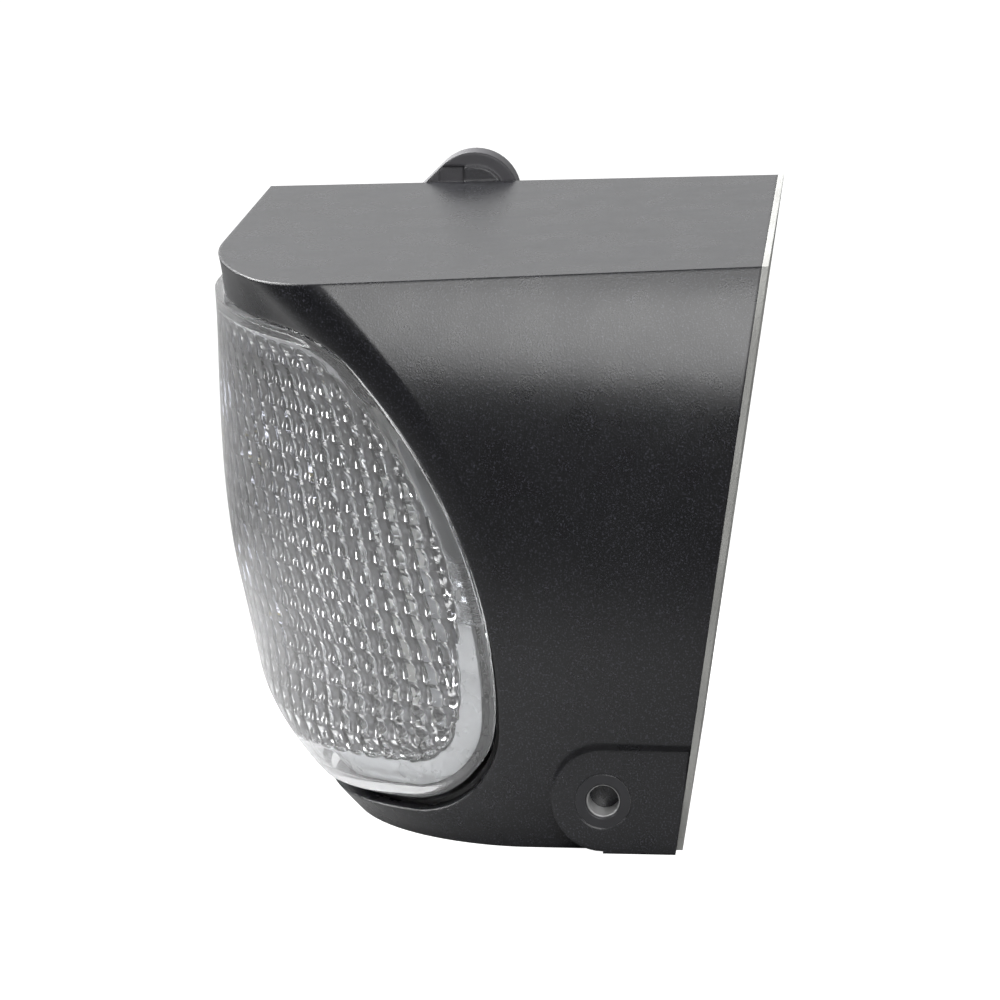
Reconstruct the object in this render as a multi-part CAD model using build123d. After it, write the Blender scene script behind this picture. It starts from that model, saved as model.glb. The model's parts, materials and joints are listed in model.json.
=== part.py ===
"""Sealed LED headlight for a vehicle: wedge-shaped housing, wrap-round fluted lens, tilting beam unit.

Millimetres. +Z is up, the lamp shines towards -Y, the outer side of the vehicle is +X.
The origin is under the middle of the whole lamp, on the surface that it stands on.
"""
import os
from math import cos, hypot, radians, sin, sqrt, tan

from build123d import *

os.makedirs("parts", exist_ok=True)

# Housing envelope
far_x = -64.5              # flat inner side
near_x_max = 72.5          # widest point of the outer side
widest_z = 100.0           # height of that widest point
lower_side_radius = 341.0  # outer side seen from the front, below the widest point
upper_side_radius = 60.0   # the same, above it
side_taper = 0.085         # outer side closes in towards the rear by this slope at the top
front_y = -59.5            # foremost line of the housing
chin_depth = 36.0          # how far the chin curves back by the base
chin_height = 102.5        # height at which the front starts to curve back
front_slant = 1.7          # degrees, front face turned towards the inner side
top_front_z = 125.0        # top face at the front edge
top_slope = 2.0            # degrees, top face rises to the rear
rear_foot_y = 45.7         # rear face at the base
rear_lean = 0.135          # rear face leans back by this slope
corner_radius = 88.0       # big front corner in plan
corner_radius_base = 44.0
ridge_radius = 20.0        # soft ridge where the front corner meets the outer side
ridge_radius_base = 34.0
wall = 3.0
section_heights = (0, 10, 28, 45, 62, 84, 98, 112, 121, 130)

# Lens
lens_wall = 3.0
lens_proud = 3.8           # the lens bulges past the housing at the front by about this much
lens_sunk = 1.6            # and sits below the surface on the outer side
lens_gap = 1.0             # gap between lens edge and housing, filled by the seal
lens_edge_depth = 6.0      # skirt of the lens inside the opening
opening_far_x = -56.0
opening_top_z = 115.4
opening_foot_z = 1.4
opening_corner = 14.0
bezel_gap_z = 50.0
opening_return = 2.5       # wall that turns inwards around the opening

# Rear closure
ledge_y = 33.0
ledge_thickness = 3.0
ledge_width = 5.0
seal_thickness = 1.0
cover_thickness = 3.0
cover_clearance = 0.4
cover_front_y = ledge_y + ledge_thickness + seal_thickness
cover_rear_y = cover_front_y + cover_thickness
rim_gasket = 1.4
screw_shank = 2.0
boss_radius = 4.2
inner_screw_heights = (11, 66, 117)
outer_screw_heights = (35, 74, 112)

# Mounting ears: an M8 threaded insert in each
insert_bore = 3.4
insert_outer = 6.0
insert_length = 7.5
insert_mouth = 0.6         # chamfer at the mouth of the thread
pad_x = 61.5               # lower ear: a flat pad in the outer side, by the rear foot
pad_y = 28.5
pad_z = 11.8
pad_radius = 11.3
pad_boss = 7.4
pad_wall = 2.6
ear_x = -72.5              # upper ear: a lug on the flat inner side
ear_y = -9.3
ear_z = 123.0
ear_radius = 10.5
ear_hub = 7.3
ear_foot_z = 96.0
ear_insert_length = 5.5
ear_pocket = 1.4

# Beam unit, which tilts about a cross axis
pivot_y = -3.0
pivot_z = 57.0
pivot_radius = 1.2
fit = 0.05                 # radial running clearance
gap = 0.4                  # clearance between bodies that move apart
beam_far_x = -50.0
beam_near_x = 46.0
beam_low_z = 27.0
beam_high_z = 100.0
board_front_y = -14.0
board_thickness = 1.6
sink_plate = 4.0
fin_depth = 15.0
fin_thickness = 1.8
fin_pitch = 7.0
cup_radius = 15.2          # mouth of a reflector cup
cup_throat = 4.6
cup_depth = 17.0
cup_wall = 1.2
cup_pitch = 32.0
first_cup_x = -33.5
low_row_z = 81.0           # three low-beam cups
high_row_z = 44.5          # two high-beam cups below them
emitter_size = 5.0
emitter_dome = 1.7

# Small screws: M3 in pillars, M2.5 through the low-beam reflector
m3_shank = 1.4
m3_thread = 1.45
m3_clearance = 1.7
m25_shank = 1.15
m25_thread = 1.2
m25_clearance = 1.3

# Pivot frame and aim mechanism
frame_arm = 2.5            # sheet thickness of the pivot frame
frame_low_z = 30.0
frame_high_z = 86.0
frame_rail = 8.0
frame_post_xs = (-47.0, 49.0)
frame_post_zs = (36.0, 78.0)
frame_far_x = -57.0
frame_near_x = 57.0
frame_back_y = 13.0
aim_x = -20.0
aim_z = 20.0
nut_width = 12.0
nut_front_y = -9.0
nut_rear_y = 15.0
ball_radius = 3.0
thread_radius = 2.5
shaft_radius = 3.0
knob_radius = 6.5
knob_height = 4.2
aim_boss = 6.5             # boss of the rear cover round the screw
wiper_radius = 4.6         # seal ring in that boss
groove_y = 30.0            # retaining ring's groove in the screw
groove_width = 0.9
groove_radius = 2.4
clip_radius = 5.2

# Inlet and electronics
inlet_x = 20.0
inlet_z = 94.0
inlet_width = 26.0
inlet_height = 18.0
inlet_wall = 2.0
inlet_depth = 13.0
inlet_flange = 2.5
inlet_screw_radius = 1.2
pin_radius = 1.1
pin_pitch = 6.5
driver_y = 27.0
driver_x = 4.0
driver_z = 84.0
driver_width = 80.0
driver_height = 40.0
choke_x = -17.0
choke_z = 84.0
choke_base = 7.0           # half the side of its square base
choke_radius = 6.2
can_radius = 4.0
can_height = 9.5
can_xs = (2.0, 12.0)
can_z = 80.0
vent_x = -46.0
vent_z = 96.0
vent_cap = 6.5
vent_stem = 4.0
vent_barb = 4.5


def smooth(u):
    u = min(max(u, 0.0), 1.0)
    return u * u * (3 - 2 * u)


def side_x(z):
    """Outer side at its widest line: a long arc below, a short one above."""
    radius = lower_side_radius if z < widest_z else upper_side_radius
    return near_x_max - radius + sqrt(radius**2 - (z - widest_z) ** 2)


def front_line(z):
    """Front face in side view: upright above, a quarter ellipse down to the chin."""
    drop = min(max((chin_height - z) / chin_height, 0.0), 0.985)
    return front_y + chin_depth * (1 - sqrt(1 - drop * drop))


def swell(z):
    """How far the lens stands out at a height, as a multiple of lens_proud: fullest below its middle."""
    return 1.55 * smooth((z - 1) / 25) - 0.85 * smooth((z - 35) / 80)


def ridge_line(z):
    """Where the outer side starts to turn forwards; it sweeps forwards with height."""
    if z > 45:
        return 6 - 37 * ((z - 45) / 80) ** 2.3
    return 6 + 6 * ((45 - z) / 45) ** 2


def plan(z, inset=0.0, proud=0.0, sunk=0.0):
    """Horizontal section: inner side, slanted front, big corner arc, ridge arc, tapered outer side."""
    fullness = smooth(z / 45)
    big = corner_radius_base + (corner_radius - corner_radius_base) * fullness
    small = ridge_radius_base + (ridge_radius - ridge_radius_base) * fullness
    side = side_x(z) - sunk
    front = front_line(z) - proud * swell(z)
    ridge = ridge_line(z)
    small_x = side - small
    drop = front + big - ridge
    big_x = small_x - sqrt(max((big - small) ** 2 - drop**2, 1.0))
    big_y = front + big
    reach = hypot(small_x - big_x, ridge - big_y)
    towards = ((small_x - big_x) / reach, (ridge - big_y) / reach)
    big -= inset
    small -= inset
    slant = radians(front_slant)
    start = (big_x - big * sin(slant), big_y - big * cos(slant))
    corner = (far_x + inset, start[1] + (start[0] - far_x - inset) * tan(slant))
    meet = (big_x + big * towards[0], big_y + big * towards[1])
    halfway = ((-sin(slant) + towards[0]) / 2, (-cos(slant) + towards[1]) / 2)
    half = hypot(*halfway)
    bulge = (big_x + big * halfway[0] / half, big_y + big * halfway[1] / half)
    turn = hypot(1 + towards[0], towards[1])
    soft = (small_x + small * (1 + towards[0]) / turn, ridge + small * towards[1] / turn)
    tangent = (small_x + small, ridge)
    back = 70.0
    rear = (tangent[0] - (back - ridge) * side_taper * z / 127, back)
    outline = [
        Line((far_x + inset, back), corner),
        Line(corner, start),
        ThreePointArc(start, bulge, meet),
        ThreePointArc(meet, soft, tangent),
        Line(tangent, rear),
        Line(rear, (far_x + inset, back)),
    ]
    return Pos(0, 0, z) * make_face(outline)


def envelope(inset=0.0, proud=0.0, sunk=0.0):
    """Solid through the plan sections, before it is cut by the top and rear faces."""
    return loft([plan(z, inset, proud, sunk) for z in section_heights])


def below_top(depth):
    """Everything lower than the top face by depth."""
    slab = Pos(0, 0, -100 - depth) * Box(300, 400, 200)
    return Pos(0, front_y, top_front_z) * Rot(top_slope, 0, 0) * slab


def ahead_of_rear(depth):
    """Everything in front of the leaning rear face by depth."""
    lean = Plane((0, rear_foot_y - depth, 0), x_dir=(1, 0, 0), z_dir=(0, -1, rear_lean))
    return extrude(lean * Rectangle(400, 400), 300)


def side_outline(shrink=0.0):
    """Lens opening seen from the side: level top, long sweep down and back, round lower corner."""
    brow = TangentArc((-42, opening_top_z), (-25, 108.0), tangent=(1, 0))
    sweep = TangentArc(brow @ 1, (6.1, 28.0), tangent=brow % 1)
    heel = TangentArc(sweep @ 1, (-12, 6.8), tangent=sweep % 1)
    sill = Line(heel @ 1, (-80, 1.8))
    front = Line(sill @ 1, (-80, opening_top_z))
    top = Line(front @ 1, brow @ 0)
    face = make_face([brow, sweep, heel, sill, front, top])
    return offset(face, -shrink) if shrink else face


def opening(shrink=0.0, lift=0.0):
    """Prism that cuts the lens opening, rounded at its inner corners; lift raises its sill."""
    across = Plane.YZ * side_outline(shrink)
    prism = Pos(opening_far_x + shrink, 0, 0) * extrude(across, 160)
    foot = opening_foot_z + shrink + lift
    height = opening_top_z - shrink - foot
    frame = Plane.XZ * Pos(opening_far_x + shrink + 100, foot + height / 2)
    rounded = frame * RectangleRounded(200, height, opening_corner - shrink)
    return prism & extrude(rounded, 90, both=True)


def cylinder_x(radius, x0, x1, y, z):
    return Pos((x0 + x1) / 2, y, z) * Rot(0, 90, 0) * Cylinder(radius, abs(x1 - x0))


def cylinder_y(radius, y0, y1, x, z):
    return Pos(x, (y0 + y1) / 2, z) * Rot(90, 0, 0) * Cylinder(radius, abs(y1 - y0))


def hole_y(radius, x, z):
    """Cutter that passes right through along Y."""
    return cylinder_y(radius, -100, 100, x, z)


def block(x0, x1, y0, y1, z0, z1):
    return Pos((x0 + x1) / 2, (y0 + y1) / 2, (z0 + z1) / 2) * Box(x1 - x0, y1 - y0, z1 - z0)


def cavity(inset, floor, y0=-100.0, y1=100.0):
    """Space inside the housing, between two cross planes."""
    space = envelope(inset) & below_top(floor)
    return space & block(-100, 100, y0, y1, floor, 200)


def rear_screw_points():
    """Cover screws: three along each side, just inside the walls."""
    inward = wall + boss_radius + 0.6
    inner = [(far_x + inward, z) for z in inner_screw_heights]
    for z in outer_screw_heights:
        side = side_x(z) - (ledge_y - ridge_line(z)) * side_taper * z / 127
        inner.append((side - inward, z))
    return inner


def screw(x, z, seat_y, length, shank, head, rise, hexagon=1.4):
    """Pan-head screw pointing forwards, its head seated at seat_y, with a hexagon socket."""
    body = cylinder_y(shank, seat_y - length, seat_y, x, z)
    body += cylinder_y(head, seat_y, seat_y + rise, x, z)
    socket = Pos(x, seat_y + rise, z) * Rot(90, 0, 0) * extrude(RegularPolygon(hexagon, 6), rise * 0.6)
    return body - socket


def pad_outline():
    """Lower ear from the side: round at the front, straight above and to the rear."""
    bar = Pos(pad_y + 20, (pad_z + pad_radius) / 2) * Rectangle(40, pad_z + pad_radius)
    return Pos(pad_y, pad_z) * Circle(pad_radius) + bar


def lower_ear(shell):
    """Flat pad: let into the side above, standing proud below, with a boss for the insert behind it."""
    face = Pos(pad_x, 0, 0) * (Plane.YZ * pad_outline())
    near = ahead_of_rear(rim_gasket) & block(0, 100, 0, 100, 0, 60)
    shell += extrude(face, -pad_wall) & envelope(-6) & near
    shell -= extrude(face, 8, taper=-45)
    shell += cylinder_x(pad_boss, pad_x - insert_length - wall, pad_x - 1, pad_y, pad_z)
    return shell - cylinder_x(insert_outer, pad_x - insert_length, pad_x + 1, pad_y, pad_z)


def upper_ear():
    """Lug on the inner side: round top, one flank at 45 degrees, a hub and a shallow pocket beside it."""
    side = ear_radius * cos(radians(45))
    spread = 12.0
    flank = Polygon(
        (ear_y - side, ear_z + side),
        (ear_y - side - spread, ear_z + side - spread),
        (ear_y - side - spread, ear_foot_z + 14),
        (ear_y - 4, ear_foot_z),
        (ear_y + ear_radius, ear_foot_z + 10),
        (ear_y + ear_radius, ear_z),
        (ear_y, ear_z),
        align=None,
    )
    outline = Pos(ear_y, ear_z) * Circle(ear_radius) + flank
    lug = Pos(ear_x, 0, 0) * extrude(Plane.YZ * outline, far_x - ear_x)
    hub = cylinder_x(ear_hub, far_x - 1, far_x, ear_y, ear_z)
    step = cylinder_x(ear_radius + 1, far_x - 0.8, far_x, ear_y, ear_z)
    pocket = block(far_x - ear_pocket, far_x, ear_y - 8.3, ear_y - 2.4, ear_z + 3.2, ear_z + 7.2)
    lug = lug - (step - hub) - pocket
    return lug - cylinder_x(insert_outer, ear_x - 1, ear_x + ear_insert_length, ear_y, ear_z)


def housing():
    """Moulded shell with the lens opening, a seat for the rear cover and both mounting ears."""
    outer = envelope() & below_top(0)
    hollow = cavity(wall, wall)
    shell = outer - hollow
    collar = (opening(-opening_return) - opening()) & envelope(0.6) & below_top(0.6)
    collar -= block(far_x, opening_far_x + 6, front_y + 14, 60, opening_corner, opening_top_z - 4)
    shell += collar - envelope(lens_edge_depth + 2)
    inner_edge = wall + ledge_width
    shell += cavity(wall, wall, ledge_y, ledge_y + ledge_thickness) - cavity(inner_edge, inner_edge)
    for x, z in rear_screw_points():
        shell += cylinder_y(boss_radius, ledge_y - 10, ledge_y + ledge_thickness, x, z) & hollow
    shell -= opening()
    for x, z in rear_screw_points():
        shell -= cylinder_y(screw_shank, ledge_y - 8, ledge_y + ledge_thickness, x, z)
    shell = (shell & ahead_of_rear(rim_gasket)) + (upper_ear() - hollow)
    return lower_ear(shell)


def lens():
    """Clear cover that wraps round the outer corner, with a skirt that reaches into the opening."""
    skin, inside, edge = (envelope(t, lens_proud, lens_sunk) for t in (0, lens_wall, lens_edge_depth))
    dome = (skin - inside) & opening(lens_gap)
    tube = opening(lens_gap) - opening(lens_gap + 2)
    skirt = (tube & envelope(1.0, lens_proud, lens_sunk)) - edge
    return dome + skirt


def lens_seal():
    """Bead between the lens skirt and the collar of the housing, set back from the surface."""
    ring = opening(0.05) - opening(lens_gap - 0.05)
    return (ring & envelope(4.5)) - envelope(lens_edge_depth)


def inner_bezel():
    """Trim ring that follows the lens edge from the inside, open beside the low-beam row."""
    ring = opening(lens_gap + 2.3) - opening(lens_gap + 9)
    band = (ring & envelope(6.2, lens_proud, lens_sunk)) - envelope(8.0, lens_proud, lens_sunk)
    return band - block(30, 80, -28, 20, bezel_gap_z, opening_top_z - 8)


def pad_room():
    """Corner that the cover and its seal leave free for the wall behind the lower ear."""
    return block(pad_x - pad_wall - cover_clearance, 80, 30, 70, 0, pad_z + pad_radius + 3)


def rear_cover():
    """Plate on the ledge, with cooling ribs, the inlet cut-out, the vent hole and the aim screw's boss."""
    margin = wall + cover_clearance
    plate = cavity(margin, margin, cover_front_y, cover_rear_y)
    room = ahead_of_rear(rim_gasket + 1.5)
    for x in range(-44, 53, 8):
        plate += block(x - 1, x + 1, cover_rear_y - 0.1, 70, 35, 71) & room
    plate += cylinder_y(aim_boss, cover_front_y - 6, cover_rear_y + 1.5, aim_x, aim_z)
    plate -= hole_y(shaft_radius + fit, aim_x, aim_z)
    plate -= cylinder_y(wiper_radius, cover_front_y - 3, cover_front_y - 1, aim_x, aim_z)
    plate -= Pos(inlet_x, 40, inlet_z) * Box(inlet_width - 2, 20, inlet_height - 2)
    plate -= hole_y(vent_stem, vent_x, vent_z)
    for x, z in rear_screw_points():
        plate -= hole_y(screw_shank + 0.3, x, z)
    for x, z in inlet_screw_points():
        plate -= hole_y(inlet_screw_radius + fit, x, z)
    return plate - pad_room()


def cover_seal():
    """Flat ring between ledge and cover, with an eye round each screw."""
    edge = wall + 0.6
    thin = (ledge_y + ledge_thickness, cover_front_y)
    ring = cavity(edge, edge, *thin) - cavity(wall + ledge_width, wall + ledge_width)
    for x, z in rear_screw_points():
        ring += cylinder_y(boss_radius, *thin, x, z) & cavity(edge, edge)
    for x, z in rear_screw_points():
        ring -= hole_y(screw_shank + 0.3, x, z)
    return ring - pad_room()


def cover_screws():
    return [screw(x, z, cover_rear_y, 10.5, screw_shank, 3.6, 2.6) for x, z in rear_screw_points()]


def rear_gasket():
    """Foam strip on the rear rim, which the lamp is pulled against when it is mounted."""
    rim = (envelope() & below_top(0)) - cavity(wall, wall)
    return (rim & ahead_of_rear(0)) - ahead_of_rear(rim_gasket)


def threaded_inserts():
    """Steel M8 inserts, one in each ear; the bore is the tapping size, chamfered at its mouth."""
    out = []
    lower = (pad_x, pad_y, pad_z, 1, insert_length)
    upper = (ear_x, ear_y, ear_z, -1, ear_insert_length)
    for x, y, z, way, length in (lower, upper):
        sleeve = cylinder_x(insert_outer, x, x - way * length, y, z)
        sleeve -= cylinder_x(insert_bore, x + way, x - way * (length + 1), y, z)
        mouth = Pos(x - way * insert_mouth / 2, y, z) * Rot(0, 90 * way, 0)
        sleeve -= mouth * Cone(insert_bore, insert_bore + insert_mouth, insert_mouth)
        out.append(sleeve)
    return out


def breather_vent():
    """Push-in vent: barbed stem, slotted cap."""
    cap = cylinder_y(vent_cap, cover_rear_y, cover_rear_y + 3.5, vent_x, vent_z)
    stem = cylinder_y(vent_stem, cover_front_y - 2.5, cover_rear_y, vent_x, vent_z)
    stem += cylinder_y(vent_barb, cover_front_y - 2.5, cover_front_y, vent_x, vent_z)
    slots = Pos(vent_x, cover_rear_y + 0.6, vent_z) * Box(14, 1.2, 1.6)
    slots += Pos(vent_x, cover_rear_y + 0.6, vent_z) * Box(1.6, 1.2, 14)
    return cap + stem - slots - cylinder_y(2.0, cover_front_y - 3, cover_rear_y + 1, vent_x, vent_z)


def inlet_screw_points():
    half = inlet_width / 2 + 4.5
    return [(inlet_x - half, inlet_z), (inlet_x + half, inlet_z)]


def rounded_block(width, height, radius, y0, y1, x, z):
    face = Plane.XZ * RectangleRounded(width, height, radius)
    return Pos(x, y1, z) * extrude(face, y1 - y0)


inlet_seat_y = cover_rear_y + 1.0
inlet_pin_xs = [inlet_x + step * pin_pitch for step in (-1, 0, 1)]
inlet_pin_z = inlet_z - 3.6


def inlet_body():
    """Three-way socket: flange, open shroud to the rear, closed back that passes through the cover."""
    width, height, seat = inlet_width, inlet_height, inlet_seat_y
    front, flange_rear, rear = cover_front_y - 3, seat + inlet_flange, seat + inlet_depth
    place = (inlet_x, inlet_z)
    flange = rounded_block(width + 17, height + 2, 4, seat, flange_rear, *place)
    shroud = rounded_block(width, height, 3, seat, rear, *place)
    back = rounded_block(width - 2.4, height - 2.4, 2, front, seat, *place)
    hollow = rounded_block(width - 2 * inlet_wall, height - 2 * inlet_wall, 1.5, flange_rear, rear + 1, *place)
    latch = Pos(inlet_x, rear - 4, inlet_z + inlet_height / 2 + 0.8) * Box(7, 5, 2.2)
    body = flange + shroud + back + latch - hollow
    for x in inlet_pin_xs:
        body -= hole_y(pin_radius, x, inlet_pin_z)
    for x, z in inlet_screw_points():
        body -= hole_y(inlet_screw_radius + 0.5, x, z)
    return body


def inlet_seal():
    """Flat ring between inlet flange and cover."""
    ring = rounded_block(inlet_width + 15, inlet_height, 3.5, cover_rear_y, inlet_seat_y, inlet_x, inlet_z)
    ring -= rounded_block(inlet_width - 2, inlet_height - 2, 2, 30, 60, inlet_x, inlet_z)
    for x, z in inlet_screw_points():
        ring -= hole_y(inlet_screw_radius + 0.5, x, z)
    return ring


def inlet_pins():
    """Contact pins with rounded tips, from the solder side to inside the shroud."""
    out = []
    tip = inlet_seat_y + inlet_depth - 4
    for x in inlet_pin_xs:
        pin = cylinder_y(pin_radius, driver_y - 1.4, tip, x, inlet_pin_z)
        out.append(pin + Pos(x, tip, inlet_pin_z) * Sphere(pin_radius))
    return out


def inlet_screws():
    seat = inlet_seat_y + inlet_flange
    return [screw(x, z, seat, 7.5, inlet_screw_radius, 2.4, 1.6, 0.9) for x, z in inlet_screw_points()]


def driver_corners():
    across = driver_width / 2 - 4
    up = driver_height / 2 - 4
    return [(driver_x + i * across, driver_z + j * up) for i in (-1, 1) for j in (-1, 1)]


def driver_board():
    """Circuit board behind the beam unit, carried on the rear cover."""
    rear = driver_y + board_thickness
    board = rounded_block(driver_width, driver_height, 3, driver_y, rear, driver_x, driver_z)
    for x, z in driver_corners():
        board -= hole_y(m3_clearance, x, z)
    for x in inlet_pin_xs:
        board -= hole_y(pin_radius, x, inlet_pin_z)
    return board


def driver_choke():
    """Round wound choke with its square base."""
    front, half = driver_y - 1.5, choke_base
    base = block(choke_x - half, choke_x + half, front, driver_y, choke_z - half, choke_z + half)
    return base + cylinder_y(choke_radius, driver_y - 8, front, choke_x, choke_z)


def driver_capacitors():
    """Two electrolytic cans standing on the board."""
    return [cylinder_y(can_radius, driver_y - can_height, driver_y, x, can_z) for x in can_xs]


def driver_chips():
    """Controller, switch and two diodes, flat on the board."""
    return [
        block(-4, 4, driver_y - 1.4, driver_y, 91, 99),
        block(24, 31, driver_y - 2.0, driver_y, 74, 82),
        block(34, 38, driver_y - 1.6, driver_y, 74, 79),
        block(34, 38, driver_y - 1.6, driver_y, 82, 87),
    ]


def board_spacers():
    """Spacers between driver board and rear cover."""
    out = []
    for x, z in driver_corners():
        length = cover_front_y - driver_y - board_thickness
        post = Pos(x, cover_front_y, z) * extrude(Plane.XZ * RegularPolygon(3, 6), length)
        out.append(post - cylinder_y(m3_thread, driver_y, cover_front_y - 2, x, z))
    return out


def board_screws():
    """Screws through the driver board into its spacers, heads to the front."""
    out = []
    for x, z in driver_corners():
        shank = cylinder_y(m3_shank, driver_y, driver_y + 7, x, z)
        out.append(shank + cylinder_y(2.6, driver_y - 1.6, driver_y, x, z))
    return out


frame_corners = [(x, z) for x in frame_post_xs for z in frame_post_zs]


def pivot_frame():
    """Folded sheet frame: back ring behind the beam unit and an arm forwards on each side for its pivot."""
    rear = frame_back_y + frame_arm
    window = (frame_post_xs[0] + 6, frame_post_xs[1] - 6)
    back = block(frame_far_x, frame_near_x, frame_back_y, rear, frame_low_z, frame_high_z)
    back -= block(*window, 0, rear + 1, frame_low_z + frame_rail, frame_high_z - frame_rail)
    arms = []
    for x0, out in ((frame_far_x, -1), (frame_near_x - frame_arm, 1)):
        arm = block(x0, x0 + frame_arm, pivot_y - 5, rear, pivot_z - 7, pivot_z + 7)
        arm -= cylinder_x(pivot_radius + fit, x0 - 1, x0 + frame_arm + 1, pivot_y, pivot_z)
        arms.append(arm)
    guard = pivot_radius + fit
    rib = (frame_near_x, frame_near_x + 2.6, pivot_y - 4.5, pivot_y + 3.5)
    ribs = [
        block(*rib, pivot_z + guard, pivot_z + guard + 1),
        block(*rib, pivot_z - guard - 1, pivot_z - guard),
    ]
    frame = back + arms + ribs
    for x, z in frame_corners:
        frame -= hole_y(m3_clearance, x, z)
    return frame


def frame_posts():
    """Hexagon pillars from the rear cover to the pivot frame."""
    out = []
    front = frame_back_y + frame_arm
    for x, z in frame_corners:
        length = cover_front_y - front
        post = Pos(x, cover_front_y, z) * extrude(Plane.XZ * RegularPolygon(3.4, 6), length)
        out.append(post - cylinder_y(m3_thread, front - 1, front + 8, x, z))
    return out


def frame_screws():
    """Screws through the pivot frame into its pillars, heads to the front."""
    out = []
    for x, z in frame_corners:
        body = cylinder_y(m3_shank, frame_back_y, frame_back_y + 9, x, z)
        out.append(body + cylinder_y(2.8, frame_back_y - 1.8, frame_back_y, x, z))
    return out


sink_front_y = board_front_y + board_thickness
sink_rear_y = sink_front_y + sink_plate
lug_thickness = 4.5


def heat_sink():
    """Finned plate that carries the beam unit, with a pivot lug at each side and a foot for the ball stud."""
    plate = block(beam_far_x, beam_near_x, sink_front_y, sink_rear_y, beam_low_z, beam_high_z)
    count = int((beam_near_x - beam_far_x - 14) / fin_pitch)
    middle = (beam_far_x + beam_near_x) / 2
    for i in range(count + 1):
        x = middle + (i - count / 2) * fin_pitch
        foot = 40 if abs(x - aim_x) < 9 else beam_low_z + 2
        left, right = x - fin_thickness / 2, x + fin_thickness / 2
        plate += block(left, right, sink_rear_y - 0.5, sink_rear_y + fin_depth, foot, beam_high_z - 2)
    for x0 in (beam_far_x, beam_near_x - lug_thickness):
        plate += block(x0, x0 + lug_thickness, sink_front_y, pivot_y + 5, pivot_z - 6, pivot_z + 6)
    plate += block(aim_x - 5, aim_x + 5, sink_front_y, pivot_y + 4, beam_low_z, beam_low_z + 9)
    for x0 in (beam_far_x - 1, beam_near_x - lug_thickness - 1):
        plate -= cylinder_x(pivot_radius, x0, x0 + lug_thickness + 2, pivot_y, pivot_z)
    plate -= Pos(aim_x, pivot_y, beam_low_z + 3) * Cylinder(1.6, 6)
    for x, z in reflector_screw_points():
        plate -= cylinder_y(m25_thread, sink_front_y - 1, sink_rear_y - 0.5, x, z)
    return plate


def pivot_pins():
    """Trunnion pins pressed into the heat sink's lugs."""
    return [
        cylinder_x(pivot_radius, beam_far_x + lug_thickness, frame_far_x - 1.5, pivot_y, pivot_z),
        cylinder_x(pivot_radius, beam_near_x - lug_thickness, frame_near_x + 2.4, pivot_y, pivot_z),
    ]


def cup_centres():
    low = [(first_cup_x + i * cup_pitch, low_row_z) for i in range(3)]
    high = [(first_cup_x + i * cup_pitch, high_row_z) for i in range(2)]
    return low, high


def reflector_screw_points():
    return [(first_cup_x + cup_pitch * (i + 0.5), z) for i in (0, 1) for z in (63.8, 97.0)]


def led_board():
    """White metal-core board, one emitter pad for each cup."""
    width, middle_x = beam_near_x - beam_far_x - 2, (beam_near_x + beam_far_x) / 2
    height, middle_z = beam_high_z - beam_low_z - 2, (beam_low_z + beam_high_z) / 2
    board = rounded_block(width, height, 3, board_front_y, sink_front_y, middle_x, middle_z)
    for x, z in reflector_screw_points():
        board -= hole_y(m25_clearance, x, z)
    return board


def led_emitters():
    """Square emitter packages with a clear dome over the phosphor."""
    low, high = cup_centres()
    out = []
    for x, z in low + high:
        base = block(x - emitter_size / 2, x + emitter_size / 2, board_front_y - 1, board_front_y,
                     z - emitter_size / 2, z + emitter_size / 2)
        dome = Pos(x, board_front_y - 1, z) * Sphere(emitter_dome)
        out.append(base + (dome - block(-100, 100, board_front_y - 0.6, 50, 0, 150)))
    return out


def cup_profile(extra):
    """Half section of a parabolic cup as radius over distance from the throat, extra thick outwards."""
    throat = (cup_throat + extra, 0)
    mouth = (cup_radius + extra, cup_depth)
    middle = (cup_throat + extra + 0.72 * (cup_radius - cup_throat), cup_depth * 0.4)
    return throat, middle, mouth


def cup_solid(extra, x, z):
    throat, middle, mouth = cup_profile(extra)
    curve = ThreePointArc(throat, middle, mouth)
    face = make_face([curve, Line(mouth, (0, cup_depth)), Line((0, cup_depth), (0, 0)), Line((0, 0), throat)])
    return Pos(x, board_front_y, z) * Rot(90, 0, 0) * revolve(Plane.XZ * face, Axis.Z)


def reflector(centres, low_z, high_z, near_x):
    """Metallised moulding: a row of parabolic cups joined by a face plate, with a foot on the board."""
    mouth_y = board_front_y - cup_depth
    far = first_cup_x - cup_radius - 1.2
    middle_x, middle_z = (far + near_x) / 2, (low_z + high_z) / 2
    plate = rounded_block(near_x - far, high_z - low_z, 3.5, mouth_y, mouth_y + 1.6, middle_x, middle_z)
    for x, z in centres:
        plate += cup_solid(cup_wall, x, z)
    for x, z in centres:
        plate -= cup_solid(0, x, z)
    return plate


def low_beam_reflector():
    low = cup_centres()[0]
    near_x = low[-1][0] + cup_radius + 1.2
    body = reflector(low, low_row_z - cup_radius - 1.4, low_row_z + cup_radius + 1.6, near_x)
    for x, z in reflector_screw_points():
        body += cylinder_y(2.4, board_front_y - cup_depth, board_front_y, x, z)
    for x, z in reflector_screw_points():
        body -= hole_y(m25_clearance, x, z)
    return body


def high_beam_reflector():
    high = cup_centres()[1]
    near_x = high[-1][0] + cup_radius + 1.2
    return reflector(high, high_row_z - cup_radius - 1.6, high_row_z + cup_radius + 1.2, near_x)


def reflector_screws():
    """Long screws through the low-beam reflector and the board into the heat sink."""
    out = []
    front = board_front_y - cup_depth
    for x, z in reflector_screw_points():
        shank = cylinder_y(m25_shank, front, sink_front_y + 3, x, z)
        out.append(shank + cylinder_y(2.2, front - 1.5, front, x, z))
    return out


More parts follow.
